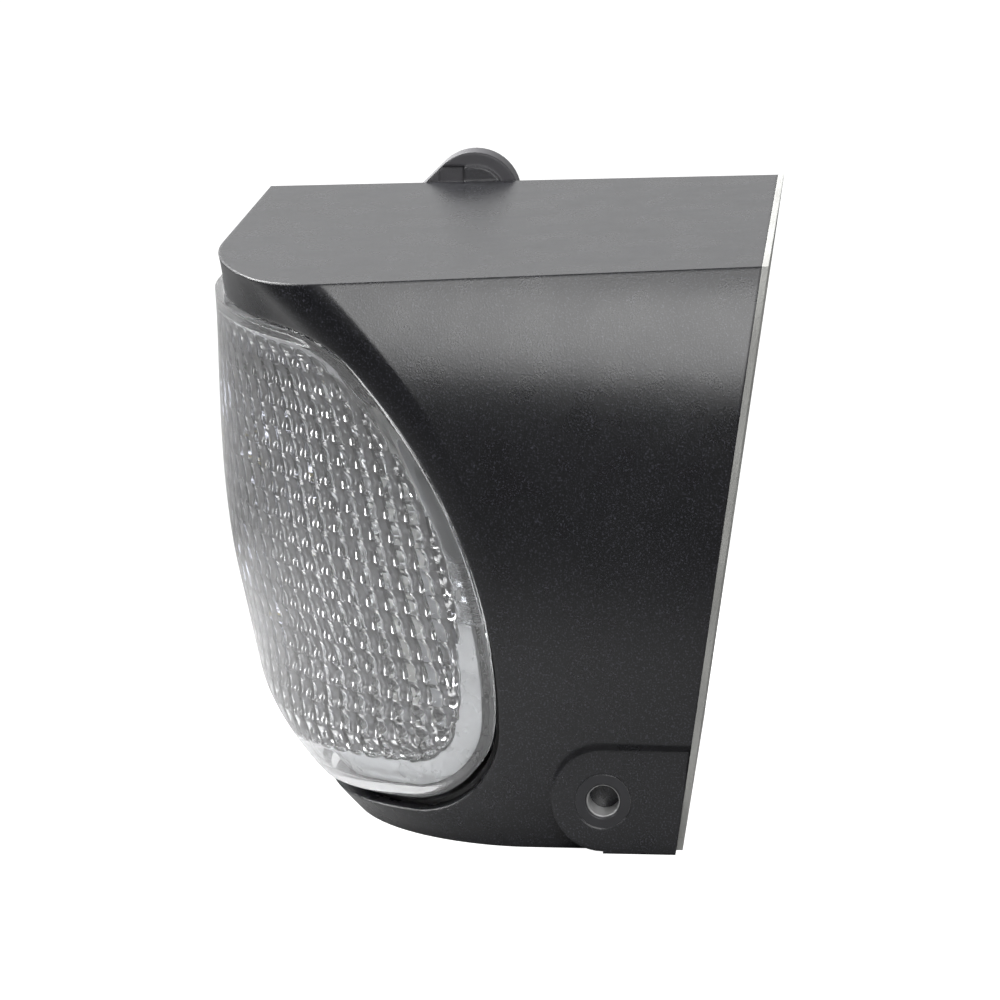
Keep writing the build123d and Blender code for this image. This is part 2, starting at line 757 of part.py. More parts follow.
def led_connector():
    """Small board socket beside the high-beam row."""
    shell = block(33, 42, board_front_y - 5, board_front_y, 32, 44)
    return shell - block(34, 41, board_front_y - 6, board_front_y - 1.5, 34, 42)


def ball_stud():
    """Ball under the heat sink, on a short stem pressed into it."""
    stem = Pos(aim_x, pivot_y, (aim_z + beam_low_z + 6) / 2) * Cylinder(1.6, beam_low_z + 6 - aim_z)
    return stem + Pos(aim_x, pivot_y, aim_z) * Sphere(ball_radius)


def aim_nut():
    """Square nut on the aim screw; the ball stud drops into its upright bore."""
    half = nut_width / 2
    body = block(aim_x - half, aim_x + half, nut_front_y, nut_rear_y, aim_z - half, aim_z + half - 1)
    body -= Pos(aim_x, pivot_y, aim_z + 5) * Cylinder(ball_radius + fit, 18)
    return body - cylinder_y(thread_radius + fit, 0.8, nut_rear_y + 1, aim_x, aim_z)


def aim_guide():
    """Channel on the floor of the housing that keeps the nut from turning."""
    half = nut_width / 2
    channel = block(aim_x - half - gap - 2, aim_x + half + gap + 2, -10, 18, wall, aim_z + 2)
    channel -= block(aim_x - half - gap, aim_x + half + gap, -11, 19, aim_z - half - gap, 60)
    room = half + gap
    return channel - block(aim_x - room, aim_x + room, -11, 19, wall - 1, aim_z - room - 2)


def aim_screw():
    """Adjusting screw: thread barrel, shaft through the cover, ribbed knob with a hexagon socket."""
    shaft = cylinder_y(thread_radius, 3.5, 22, aim_x, aim_z)
    shaft += cylinder_y(shaft_radius, 22, cover_rear_y + 2, aim_x, aim_z)
    seat = cover_rear_y + 1.5 + gap
    knob = cylinder_y(knob_radius, seat, seat + knob_height, aim_x, aim_z)
    for i in range(12):
        turn = radians(30 * i)
        knob -= cylinder_y(0.9, seat - 1, seat + knob_height + 1,
                           aim_x + knob_radius * cos(turn), aim_z + knob_radius * sin(turn))
    socket = Pos(aim_x, seat + knob_height, aim_z) * Rot(90, 0, 0) * extrude(RegularPolygon(3, 6), 3)
    groove = cylinder_y(shaft_radius + 1, groove_y, groove_y + groove_width, aim_x, aim_z)
    return shaft + knob - socket - (groove - hole_y(groove_radius, aim_x, aim_z))


def screw_clip():
    """Open retaining ring in the screw's groove, ahead of the boss."""
    ring = cylinder_y(clip_radius, groove_y + fit, groove_y + groove_width - fit, aim_x, aim_z)
    ring -= hole_y(groove_radius, aim_x, aim_z)
    return ring - block(aim_x - 1.6, aim_x + 1.6, 0, 40, aim_z - 8, aim_z - 1)


def aim_screw_seal():
    """Ring in the cover's boss that wipes the screw's shaft."""
    ring = cylinder_y(wiper_radius, cover_front_y - 3, cover_front_y - 1, aim_x, aim_z)
    return ring - hole_y(shaft_radius + fit, aim_x, aim_z)


pieces = (
    housing, lens, lens_seal, inner_bezel, rear_cover, cover_seal, cover_screws, rear_gasket,
    threaded_inserts, breather_vent, inlet_body, inlet_seal, inlet_pins, inlet_screws, driver_board,
    driver_choke, driver_capacitors, driver_chips, board_spacers, board_screws, pivot_frame,
    frame_posts, frame_screws, heat_sink, pivot_pins, led_board, led_emitters, low_beam_reflector,
    high_beam_reflector, reflector_screws, led_connector, ball_stud, aim_nut, aim_guide, aim_screw,
    screw_clip, aim_screw_seal,
)

for make in pieces:
    made = make()
    shape = Compound(children=made) if isinstance(made, list) else made
    export_step(shape, f"parts/{make.__name__}.step")
    box = shape.bounding_box()
    print(make.__name__, len(shape.solids()), round(shape.volume), box.min, box.max)
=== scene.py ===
import json
from math import atan2, cos, pi, radians, sin

import bpy
import numpy as np
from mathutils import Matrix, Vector


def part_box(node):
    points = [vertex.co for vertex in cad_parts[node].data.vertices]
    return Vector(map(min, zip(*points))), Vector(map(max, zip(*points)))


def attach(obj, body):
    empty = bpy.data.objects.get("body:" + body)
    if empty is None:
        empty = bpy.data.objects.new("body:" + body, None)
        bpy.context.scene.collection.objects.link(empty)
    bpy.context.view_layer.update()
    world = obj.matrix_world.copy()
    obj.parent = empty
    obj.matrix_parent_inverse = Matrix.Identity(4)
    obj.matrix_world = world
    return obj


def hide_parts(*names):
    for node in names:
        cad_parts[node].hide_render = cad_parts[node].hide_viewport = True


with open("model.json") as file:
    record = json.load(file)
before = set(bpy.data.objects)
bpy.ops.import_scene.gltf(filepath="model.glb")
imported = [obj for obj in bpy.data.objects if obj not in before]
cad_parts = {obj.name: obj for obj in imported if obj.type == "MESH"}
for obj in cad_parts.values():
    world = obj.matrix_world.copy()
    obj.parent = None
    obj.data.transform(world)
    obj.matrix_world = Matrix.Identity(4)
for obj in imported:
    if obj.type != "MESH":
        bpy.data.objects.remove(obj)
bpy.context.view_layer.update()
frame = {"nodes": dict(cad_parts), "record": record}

nodes = frame["nodes"]
mm = 0.001
print("frame loaded:", len(nodes), "nodes")


studio = {
    "aim": (0.0325, 0.0039, 0.072),   # the camera looks at this point of the lamp
    "azimuth": 4.25,                  # degrees from the outer side towards the rear
    "elevation": 12.5,
    "distance": 1.3,
    "lens": 212.7,
    "clip": (0.05, 60),
}

# the world's brightness for all but direct view, over this range of the direction's x
sky = {"x": (-0.45, -0.85), "strength": (0.06, 1.05)}

floorLook = {
    "size": 14.0,
    "roughness": 0.8,
    "specular": 0.1,
    "reach": (0.14, 0.24),      # metres from the middle, over which it goes from the first grey to the second
    "grey": (0.26, 0.03),
    "glowX": (-0.14, -0.34),    # it glows on the far side of the lamp, by the product of the two levels
    "levelX": (0, 0.5),
    "glowY": (-0.30, -0.10),
    "levelY": (0, 1),
}

softboxes = {
    "outerSide": {
        "place": (1.05, 0.34, 0.79), "target": (0.06, 0.0, 0.10), "size": (0.83, 1.1), "watts": 21.0,
    },
    "overFront": {
        "place": (-0.45, -1.0, 1.0), "target": (0.0, -0.03, 0.06), "size": (1.7, 1.1), "watts": 120.0,
    },
    "behind": {"place": (-1.2, 0.0, 0.55), "target": (0.0, 0.0, 0.08), "size": (1.8, 0.8), "watts": 3.2},
    "rear": {"place": (-0.3, 1.3, 0.7), "target": (0.0, 0.05, 0.07), "size": (1.2, 0.9), "watts": 10.0},
}


def addCamera():
    azimuth, elevation = radians(studio["azimuth"]), radians(studio["elevation"])
    back = Vector((cos(elevation) * cos(azimuth), cos(elevation) * sin(azimuth), sin(elevation)))
    camera = bpy.data.objects.new("camera", bpy.data.cameras.new("camera"))
    camera.data.lens = studio["lens"]
    camera.data.clip_start, camera.data.clip_end = studio["clip"]
    camera.location = Vector(studio["aim"]) + back * studio["distance"]
    camera.rotation_euler = (-back).to_track_quat("-Z", "Y").to_euler()
    bpy.context.scene.collection.objects.link(camera)
    bpy.context.scene.camera = camera


def addSoftbox(name, box):
    # a rectangular lamp that points at a target and stays out of the picture
    data = bpy.data.lights.new(name, "AREA")
    data.shape = "RECTANGLE"
    data.size, data.size_y = box["size"]
    data.energy = box["watts"]
    softbox = bpy.data.objects.new(name, data)
    softbox.location = box["place"]
    aim = Vector(box["target"]) - Vector(box["place"])
    softbox.rotation_euler = aim.to_track_quat("-Z", "Y").to_euler()
    softbox.visible_camera = False
    bpy.context.scene.collection.objects.link(softbox)


def rampOf(tree, value, fromRange, toRange):
    made = tree.nodes.new("ShaderNodeMapRange")
    for name, number in zip(("From Min", "From Max", "To Min", "To Max"), (*fromRange, *toRange)):
        made.inputs[name].default_value = number
    tree.links.new(value, made.inputs["Value"])
    return made.outputs["Result"]


def addSky():
    # white where it is seen directly; to everything else dim, and brighter on the far side of the lamp
    world = bpy.data.worlds.new("studio")
    bpy.context.scene.world = world
    world.use_nodes = True
    tree = world.node_tree
    background = tree.nodes["Background"]
    coords = tree.nodes.new("ShaderNodeTexCoord")
    split = tree.nodes.new("ShaderNodeSeparateXYZ")
    seen = tree.nodes.new("ShaderNodeLightPath")
    pick = tree.nodes.new("ShaderNodeMix")
    pick.inputs["B"].default_value = 1.0
    tree.links.new(coords.outputs["Generated"], split.inputs[0])
    tree.links.new(seen.outputs["Is Camera Ray"], pick.inputs["Factor"])
    tree.links.new(rampOf(tree, split.outputs["X"], sky["x"], sky["strength"]), pick.inputs["A"])
    tree.links.new(pick.outputs["Result"], background.inputs["Strength"])


def addFloor():
    # white where it is seen directly; to everything else grey near the lamp, dark further out,
    # and glowing on the far side
    half = floorLook["size"] / 2
    mesh = bpy.data.meshes.new("floor")
    corners = [(-half, -half, 0), (half, -half, 0), (half, half, 0), (-half, half, 0)]
    mesh.from_pydata(corners, [], [(0, 1, 2, 3)])
    floor = bpy.data.objects.new("floor", mesh)
    bpy.context.scene.collection.objects.link(floor)
    material = bpy.data.materials.new("paleFloor")
    material.use_nodes = True
    tree = material.node_tree
    shader = tree.nodes["Principled BSDF"]
    shader.inputs["Roughness"].default_value = floorLook["roughness"]
    shader.inputs["Specular IOR Level"].default_value = floorLook["specular"]
    shader.inputs["Emission Color"].default_value = (1, 1, 1, 1)
    coords = tree.nodes.new("ShaderNodeTexCoord")
    split = tree.nodes.new("ShaderNodeSeparateXYZ")
    reach = tree.nodes.new("ShaderNodeVectorMath")
    reach.operation = "LENGTH"
    tree.links.new(coords.outputs["Object"], split.inputs[0])
    tree.links.new(coords.outputs["Object"], reach.inputs[0])
    grey = rampOf(tree, reach.outputs["Value"], floorLook["reach"], floorLook["grey"])
    tree.links.new(grey, shader.inputs["Base Color"])
    glow = tree.nodes.new("ShaderNodeMath")
    glow.operation = "MULTIPLY"
    for axis, socket in zip("XY", glow.inputs):
        level = rampOf(tree, split.outputs[axis], floorLook["glow" + axis], floorLook["level" + axis])
        tree.links.new(level, socket)
    seen = tree.nodes.new("ShaderNodeLightPath")
    lift = tree.nodes.new("ShaderNodeMix")
    lift.inputs["B"].default_value = 1.0
    tree.links.new(seen.outputs["Is Camera Ray"], lift.inputs["Factor"])
    tree.links.new(glow.outputs[0], lift.inputs["A"])
    tree.links.new(lift.outputs["Result"], shader.inputs["Emission Strength"])
    mesh.materials.append(material)


bpy.context.scene.view_settings.view_transform = "Standard"
addCamera()
addSky()
addFloor()
for name, box in softboxes.items():
    addSoftbox(name, box)
print("studio ready")


def addNode(material, kind, **sockets):
    made = material.node_tree.nodes.new(kind)
    for name, value in sockets.items():
        made.inputs[name].default_value = value
    return made


def join(material, output, socket):
    material.node_tree.links.new(output, socket)


def noiseOf(material, scale, detail=3.0, stretch=(1, 1, 1)):
    # noise on the object's own coordinates, in metres, stretched along an axis for brushed metal
    coords = addNode(material, "ShaderNodeTexCoord")
    mapping = addNode(material, "ShaderNodeMapping", Scale=stretch)
    noise = addNode(material, "ShaderNodeTexNoise", Scale=scale, Detail=detail)
    join(material, coords.outputs["Object"], mapping.inputs["Vector"])
    join(material, mapping.outputs["Vector"], noise.inputs["Vector"])
    return noise.outputs["Fac"]


def ranged(material, value, low, high, fromLow=0.3, fromHigh=0.7):
    made = addNode(material, "ShaderNodeMapRange")
    made.inputs["From Min"].default_value = fromLow
    made.inputs["From Max"].default_value = fromHigh
    made.inputs["To Min"].default_value = low
    made.inputs["To Max"].default_value = high
    join(material, value, made.inputs["Value"])
    return made.outputs["Result"]


def mixed(material, factor, first, second):
    # two colours by a factor; either colour may be an output
    made = addNode(material, "ShaderNodeMix")
    made.data_type = "RGBA"
    join(material, factor, made.inputs["Factor"])
    for socket, value in ((made.inputs[6], first), (made.inputs[7], second)):
        if isinstance(value, tuple):
            socket.default_value = (*value, 1)
        else:
            join(material, value, socket)
    return made.outputs[2]


def softEdge(material, radius):
    made = material.node_tree.nodes.new("ShaderNodeBevel")
    made.samples = 6
    made.inputs["Radius"].default_value = radius
    return made.outputs["Normal"]


def edgeMask(material, rounded, low, high):
    # 1 on edges: where the rounded normal leaves the flat one
    geometry = addNode(material, "ShaderNodeNewGeometry")
    dot = addNode(material, "ShaderNodeVectorMath")
    dot.operation = "DOT_PRODUCT"
    join(material, rounded, dot.inputs[0])
    join(material, geometry.outputs["Normal"], dot.inputs[1])
    return ranged(material, dot.outputs["Value"], 1.0, 0.0, low, high)


def alongAxis(material, axis):
    coords = addNode(material, "ShaderNodeTexCoord")
    split = addNode(material, "ShaderNodeSeparateXYZ")
    join(material, coords.outputs["Object"], split.inputs[0])
    return split.outputs[axis]


def inBore(material, mountName, blend=0.3):
    # 1 within the thread of a mount whose axis runs across the lamp, 0 from blend millimetres outside it
    mount = next(m for m in frame["record"]["mounts"] if m["name"] == mountName)
    coords = addNode(material, "ShaderNodeTexCoord")
    flat = addNode(material, "ShaderNodeVectorMath")
    flat.operation = "MULTIPLY"
    flat.inputs[1].default_value = (0, 1, 1)
    reach = addNode(material, "ShaderNodeVectorMath")
    reach.operation = "DISTANCE"
    reach.inputs[1].default_value = (0, mount["pos_m"][1], mount["pos_m"][2])
    join(material, coords.outputs["Object"], flat.inputs[0])
    join(material, flat.outputs["Vector"], reach.inputs[0])
    radius = mount["dims"]["r_mm"] * mm
    return ranged(material, reach.outputs["Value"], 1, 0, radius, radius + blend * mm)


def shade(colour, factor):
    return tuple(min(part * factor, 1.0) for part in colour)


# what a look has where it says nothing else; edge and depth are in millimetres
plainLook = {
    "metallic": 0.0, "sockets": {}, "stretch": (1, 1, 1), "patch": 60, "drift": 0.18, "grain": 2500,
    "edge": 0.4, "wear": 0.5, "wearFrom": 0.80, "wearTo": 0.995, "scuff": 900, "rubbedShade": 1.6,
    "spread": 0.08, "smoothest": 0.02, "bump": 0.25, "depth": 0.05,
}


def makeFinish(name, ownLook):
    # body colour that drifts with a broad noise, roughness with a second one,
    # fine grain as bump, softened edges, and edges rubbed to the wear colour
    look = {**plainLook, **ownLook}
    material = bpy.data.materials.new(name)
    material.use_nodes = True
    shader = material.node_tree.nodes["Principled BSDF"]
    shader.inputs["Metallic"].default_value = look["metallic"]
    for socket, value in look["sockets"].items():
        shader.inputs[socket].default_value = value
    stretch = look["stretch"]
    broad = noiseOf(material, look["patch"], 4, stretch)
    drift = look["drift"]
    colour = mixed(material, ranged(material, broad, 0, 1),
                   shade(look["colour"], 1 - drift), shade(look["colour"], 1 + drift))
    fine = noiseOf(material, look["grain"], 2, stretch)
    if "fleck" in look:
        sparkle = ranged(material, fine, 0, 1, *look["fleckFrom"])
        colour = mixed(material, sparkle, colour, look["fleck"])
    rounded = softEdge(material, look["edge"] * mm)
    worn = edgeMask(material, rounded, look["wearFrom"], look["wearTo"])
    scuff = addNode(material, "ShaderNodeMath")
    scuff.operation = "MULTIPLY"
    join(material, worn, scuff.inputs[0])
    join(material, ranged(material, noiseOf(material, look["scuff"], 3), 0, look["wear"]), scuff.inputs[1])
    rubbed = look.get("rubbed", shade(look["colour"], look["rubbedShade"]))
    colour = mixed(material, scuff.outputs[0], colour, rubbed)
    if "satin" in look:
        satin = look["satin"]
        inner = ranged(material, alongAxis(material, satin["axis"]), 0, 1, satin["start"], satin["full"])
        colour = mixed(material, inner, colour, satin["colour"])
    if "bore" in look:
        colour = mixed(material, inBore(material, "lower_ear"), colour, look["bore"])
    join(material, colour, shader.inputs["Base Color"])
    rough = look["roughness"]
    spread = look["spread"]
    cloud = noiseOf(material, look["patch"] * 4, 3, stretch)
    gloss = ranged(material, cloud, max(rough - spread, look["smoothest"]), rough + spread)
    if "satin" in look:
        blend = addNode(material, "ShaderNodeMix")
        join(material, inner, blend.inputs["Factor"])
        join(material, gloss, blend.inputs["A"])
        blend.inputs["B"].default_value = satin["roughness"]
        gloss = blend.outputs["Result"]
    join(material, gloss, shader.inputs["Roughness"])
    bump = addNode(material, "ShaderNodeBump")
    bump.inputs["Strength"].default_value = look["bump"]
    bump.inputs["Distance"].default_value = look["depth"] * mm
    join(material, fine, bump.inputs["Height"])
    join(material, rounded, bump.inputs["Normal"])
    join(material, bump.outputs["Normal"], shader.inputs["Normal"])
    return material


looks = {
    "housing_black": {
        "colour": (0.006, 0.0062, 0.0072), "roughness": 0.28, "spread": 0.02, "patch": 25, "drift": 0.2,
        "grain": 2600, "bump": 0.5, "depth": 0.05, "edge": 1.0, "wear": 0.4,
        "rubbed": (0.04, 0.04, 0.043), "fleck": (0.055, 0.055, 0.070), "fleckFrom": (0.54, 0.85),
        "satin": {
            "axis": "X", "start": -0.0640, "full": -0.0650, "colour": (0.035, 0.034, 0.038),
            "roughness": 0.55,
        },
    },
    "seal_black": {
        "colour": (0.012, 0.012, 0.012), "roughness": 0.75, "grain": 3500, "edge": 0.3, "wear": 0.2,
    },
    "bezel_grey": {
        "colour": (0.70, 0.71, 0.72), "roughness": 0.30, "grain": 2600, "bump": 0.15, "edge": 0.5,
        "metallic": 0.35, "wear": 0.3,
    },
    "cover_aluminium": {
        "colour": (0.045, 0.046, 0.05), "roughness": 0.55, "grain": 1300, "bump": 0.6, "depth": 0.09,
        "edge": 0.6, "wear": 0.6, "rubbed": (0.30, 0.30, 0.31),
    },
    "screw_steel": {
        "colour": (0.55, 0.56, 0.58), "metallic": 1.0, "roughness": 0.30, "grain": 5000, "edge": 0.15,
        "wear": 0.7, "rubbed": (0.80, 0.80, 0.82),
    },
    "foam_pale": {
        "colour": (0.24, 0.24, 0.23), "roughness": 0.9, "grain": 2200, "bump": 0.8, "depth": 0.2, "edge": 0.3,
    },
    "insert_steel": {
        "colour": (0.50, 0.50, 0.50), "metallic": 1.0, "roughness": 0.32, "grain": 3000,
        "stretch": (1, 0.2, 0.2), "edge": 0.2, "wear": 0.8, "rubbed": (0.78, 0.78, 0.78),
    },
    "insert_black": {
        "colour": (0.035, 0.035, 0.038), "metallic": 0.6, "roughness": 0.42, "grain": 3000, "edge": 0.2,
        "wear": 0.6, "rubbed": (0.30, 0.30, 0.30), "bore": (0.60, 0.60, 0.60),
    },
    "vent_plastic": {"colour": (0.045, 0.045, 0.05), "roughness": 0.5, "edge": 0.3},
    "inlet_plastic": {
        "colour": (0.035, 0.035, 0.04), "roughness": 0.48, "grain": 1900, "bump": 0.4, "edge": 0.4,
        "fleck": (0.10, 0.10, 0.11), "fleckFrom": (0.62, 0.74),
    },
    "pin_brass": {
        "colour": (0.80, 0.66, 0.36), "metallic": 1.0, "roughness": 0.22, "edge": 0.15, "wear": 0.6,
        "rubbed": (0.85, 0.85, 0.83),
    },
    "board_green": {
        "colour": (0.012, 0.12, 0.045), "roughness": 0.32, "grain": 1400, "edge": 0.1,
        "fleck": (0.03, 0.20, 0.07), "fleckFrom": (0.50, 0.52), "rubbed": (0.45, 0.42, 0.25),
    },
    "choke_copper": {
        "colour": (0.55, 0.24, 0.10), "metallic": 1.0, "roughness": 0.30, "grain": 1200,
        "stretch": (1, 8, 1), "bump": 0.9, "depth": 0.2,
    },
    "can_silver": {
        "colour": (0.68, 0.69, 0.71), "metallic": 1.0, "roughness": 0.25, "stretch": (1, 0.1, 1), "edge": 0.3,
    },
    "chip_black": {"colour": (0.018, 0.018, 0.02), "roughness": 0.45, "grain": 4000, "edge": 0.12},
    "spacer_brass": {
        "colour": (0.72, 0.55, 0.25), "metallic": 1.0, "roughness": 0.28, "stretch": (1, 6, 1), "edge": 0.15,
    },
    "frame_steel": {
        "colour": (0.62, 0.63, 0.65), "metallic": 1.0, "roughness": 0.24, "patch": 150, "stretch": (1, 1, 5),
        "edge": 0.25, "wear": 0.8, "rubbed": (0.88, 0.88, 0.9),
    },
    "sink_aluminium": {
        "colour": (0.52, 0.53, 0.55), "metallic": 1.0, "roughness": 0.48, "grain": 1200, "bump": 0.6,
        "depth": 0.08, "edge": 0.4, "wear": 0.6, "rubbed": (0.80, 0.80, 0.82),
    },
    "board_white": {"colour": (0.80, 0.80, 0.77), "roughness": 0.35, "grain": 1800, "edge": 0.1},
    "phosphor_yellow": {
        "colour": (0.80, 0.66, 0.14), "roughness": 0.22, "grain": 6000, "edge": 0.2,
        "sockets": {"Coat Weight": 0.8, "Coat Roughness": 0.05, "Subsurface Weight": 0.0},
    },
    "reflector_chrome": {
        "colour": (0.88, 0.89, 0.90), "metallic": 1.0, "roughness": 0.07, "spread": 0.03, "drift": 0.04,
        "grain": 700, "bump": 0.05, "edge": 0.3, "wear": 0.2,
    },
    "socket_ivory": {"colour": (0.64, 0.64, 0.60), "roughness": 0.45, "edge": 0.2},
    "guide_plastic": {"colour": (0.09, 0.09, 0.10), "roughness": 0.42, "edge": 0.3},
}


def clearPlastic(look):
    # polycarbonate: clear, with a breath of haze and faint flow marks; the steps between flutes
    # carry the face attribute riser and are fully clear, with a near-black colour that is painted shade:
    # it stands in for the dark lines that the steps show by internal reflection
    material = bpy.data.materials.new("lens_clear")
    material.use_nodes = True
    shader = material.node_tree.nodes["Principled BSDF"]
    step = addNode(material, "ShaderNodeAttribute")
    step.attribute_name = "riser"
    # painted shade: the riser faces get the near-black riser colour
    tintAndPaintedShade = mixed(material, step.outputs["Fac"], look["colour"], look["riser"])
    join(material, tintAndPaintedShade, shader.inputs["Base Color"])
    clear = ranged(material, step.outputs["Fac"], look["clear"], 1, 0, 1)
    join(material, clear, shader.inputs["Transmission Weight"])
    shader.inputs["IOR"].default_value = look["ior"]
    haze = noiseOf(material, look["hazeScale"], 4)
    join(material, ranged(material, haze, *look["roughness"]), shader.inputs["Roughness"])
    flow = noiseOf(material, look["flowScale"], 2)
    bump = addNode(material, "ShaderNodeBump")
    bump.inputs["Strength"].default_value = look["flow"]
    bump.inputs["Distance"].default_value = look["flowDepth"] * mm
    join(material, flow, bump.inputs["Height"])
    join(material, bump.outputs["Normal"], shader.inputs["Normal"])
    return material


# the riser colour is painted shade for the steps between flutes
lensLook = {
    "colour": (0.985, 0.992, 1.0), "riser": (0.04, 0.04, 0.05), "clear": 0.945, "ior": 1.56,
    "hazeScale": 90, "roughness": (0.0, 0.03), "flowScale": 40, "flow": 0.05, "flowDepth": 0.1,
}
finishes = {slot: makeFinish(slot, look) for slot, look in looks.items()}
finishes["lens_clear"] = clearPlastic(lensLook)

slotOf = {part["node"]: part["material_slot"] for part in frame["record"]["subparts"]}
for name, node in nodes.items():
    for slot in node.material_slots:
        slot.material = finishes[slotOf[name]]
print("finishes on", len(nodes), "nodes")


# the surface that the lens follows, in millimetres, as is all of the lens until its mesh is made
shell = {
    "widestZ": 100.0, "lowerRadius": 341.0, "upperRadius": 60.0,     # outer side seen from the front
    "frontY": -59.5, "chinDepth": 36.0, "chinHeight": 102.5,
    "chinLimit": 0.985,      # share of the quarter ellipse that is used
    "swell": (1.55, 0.85),   # shares of proud that the front gains, then loses again, with height
    "gainZ": (1, 25),        # start of each change, and the height that it takes
    "loseZ": (35, 80),
    "slant": radians(1.7),
    "taper": 0.085,          # inward share of the outer side's length behind the ridge, at taperZ
    "taperZ": 127,
    "corner": (44.0, 88.0),  # radii in plan of the front corner and the ridge, at the base and above fullZ
    "ridge": (34.0, 20.0),
    "fullZ": 45.0,
    "ridgeY": 6,             # ridge at turnZ; it sweeps forwards above and backwards below
    "turnZ": 45,
    "sweep": 37, "sweepZ": 80, "sweepPower": 2.3,
    "heel": 6,
    "proud": 3.8, "sunk": 1.6, "nearX": 72.5,
}


def ease(share):
    # 0 to 1 with level ends: 3 t squared less 2 t cubed
    share = np.clip(share, 0, 1)
    return share * share * (3 - 2 * share)


def frontY(z):
    # upright above, a quarter ellipse back to the chin below, less the swell of the lens
    drop = np.clip((shell["chinHeight"] - z) / shell["chinHeight"], 0, shell["chinLimit"])
    gain, loss = (ease((z - start) / height) for start, height in (shell["gainZ"], shell["loseZ"]))
    swell = shell["swell"][0] * gain - shell["swell"][1] * loss
    return shell["frontY"] + shell["chinDepth"] * (1 - np.sqrt(1 - drop**2)) - shell["proud"] * swell


def sideX(z):
    # outermost x: a long arc below the widest line, a short one above it
    radius = np.where(z < shell["widestZ"], shell["lowerRadius"], shell["upperRadius"])
    return shell["nearX"] - radius + np.sqrt(radius**2 - (z - shell["widestZ"]) ** 2) - shell["sunk"]


def ridgeY(z):
    # where the outer side turns forwards: a power of the height above turnZ, a square of it below
    turn = shell["turnZ"]
    rise = np.maximum(z - turn, 0) / shell["sweepZ"]
    fall = np.maximum(turn - z, 0) / turn
    above = shell["ridgeY"] - shell["sweep"] * rise ** shell["sweepPower"]
    below = shell["ridgeY"] + shell["heel"] * fall**2
    return np.where(z > turn, above, below)


def shellPoint(along, z, farX):
    # plan curve at height z, by length from farX: slanted line, big arc, small arc, tapered line;
    # gives the point and the outward normal in plan
    full = ease(z / shell["fullZ"])
    big = shell["corner"][0] + (shell["corner"][1] - shell["corner"][0]) * full
    small = shell["ridge"][0] + (shell["ridge"][1] - shell["ridge"][0]) * full
    ridge = ridgeY(z)
    smallX = sideX(z) - small
    drop = frontY(z) + big - ridge
    bigX = smallX - np.sqrt(np.maximum((big - small) ** 2 - drop**2, 1.0))
    bigY = frontY(z) + big
    slant = shell["slant"]
    meet = np.arctan2(smallX - bigX, bigY - ridge)
    lineLength = (bigX - big * sin(slant) - farX) / cos(slant)
    bigLength = big * (meet + slant)
    smallLength = small * (pi / 2 - meet)
    onBig = along - lineLength
    onSmall = onBig - bigLength
    onTail = onSmall - smallLength
    angle = np.where(onBig < 0, -slant, -slant + onBig / big)
    angle = np.where(onSmall > 0, meet + onSmall / small, angle)
    angle = np.where(onTail > 0, pi / 2, angle)
    centreX = np.where(onSmall > 0, smallX, bigX)
    centreY = np.where(onSmall > 0, ridge, bigY)
    radius = np.where(onSmall > 0, small, big)
    normalX, normalY = np.sin(angle), -np.cos(angle)
    straight = np.minimum(onBig, 0)
    tail = np.maximum(onTail, 0)
    x = centreX + radius * normalX + straight * cos(slant) - tail * shell["taper"] * z / shell["taperZ"]
    y = centreY + radius * normalY - straight * sin(slant) + tail
    return x, y, normalX, normalY


lens = {
    "pitch": 5.3,            # one flute, and one pillow of it
    "facets": 7,             # grid lines to a pillow
    "riser": 0.12,           # share of a pillow taken by the step to the next
    "wall": 1.5,
    "pedestal": 0.40,        # fluted field stands this much inside the plain margin
    "crossBulge": 0.42,      # pillow height across the flute and along it
    "alongBulge": 0.60,
    "lean": -0.95,           # sawtooth from flute to flute, deepest at the foot of each pillow
    "leanMean": 0.65,        # its share at the middle of a pillow, and what it changes by to either end
    "leanDrop": 0.35,
    "fade": 2.6,             # flutes rise to full height over this much from the margin
    "margin": (3.6, 9.0),    # plain margin: above marginZ, and marginFade below it
    "marginZ": 75,
    "marginFade": 60,
    "skirtDepth": 1.2,       # bead on the inside round the edge
    "skirtWidth": 3.2,
    "skirtFrom": 0.3,
    "shrink": 1.0,           # gap to the opening, and what is added to it along the foot
    "footGap": 2.0,
    "footZ": 36,             # height from which that is added, and over how much
    "footFade": 26,
    "sillZ": 2.4,
    "cornerRound": 13.0,
    "span": (-2.0, 175.0),   # lengths in plan between which the grid lies
    "overTop": 2.0,
    "insideFrom": 0.12,      # a grid point closer to the edge than this is moved onto it
}

# opening in side view, y and z: level top, arcs for the brow, the long sweep down and back
# and the heel, each with its number of steps, then the sill
opening = {
    "top": ((-80.0, 115.4), (-42.0, 115.4)),
    "arcs": (((-25.0, 108.0), 12), ((6.1, 28.0), 40), ((-12.0, 6.8), 24)),
    "sill": (-80.0, 1.8),
}


def arcOn(points, heading, end, count):
    # outline goes on by an arc that leaves the last point along heading and reaches end;
    # it turns by twice the angle from heading to chord
    start = points[-1]
    chord = np.array(end) - start
    turn = 2 * atan2(heading[0] * chord[1] - heading[1] * chord[0], heading @ chord)
    normal = np.array([-heading[1], heading[0]])
    centre = start + normal * (chord @ chord) / (2 * (normal @ chord))
    steps = np.linspace(0, turn, count + 1)[1:]
    spoke = start - centre
    across = np.array([-spoke[1], spoke[0]])
    made = centre + np.outer(np.cos(steps), spoke) + np.outer(np.sin(steps), across)
    return np.vstack([points, made]), np.array([heading[0] * cos(turn) - heading[1] * sin(turn),
                                                heading[0] * sin(turn) + heading[1] * cos(turn)])


def openingOutline():
    points = np.array(opening["top"])
    heading = np.array([1.0, 0.0])
    for end, count in opening["arcs"]:
        points, heading = arcOn(points, heading, end, count)
    return np.vstack([points, opening["sill"]])


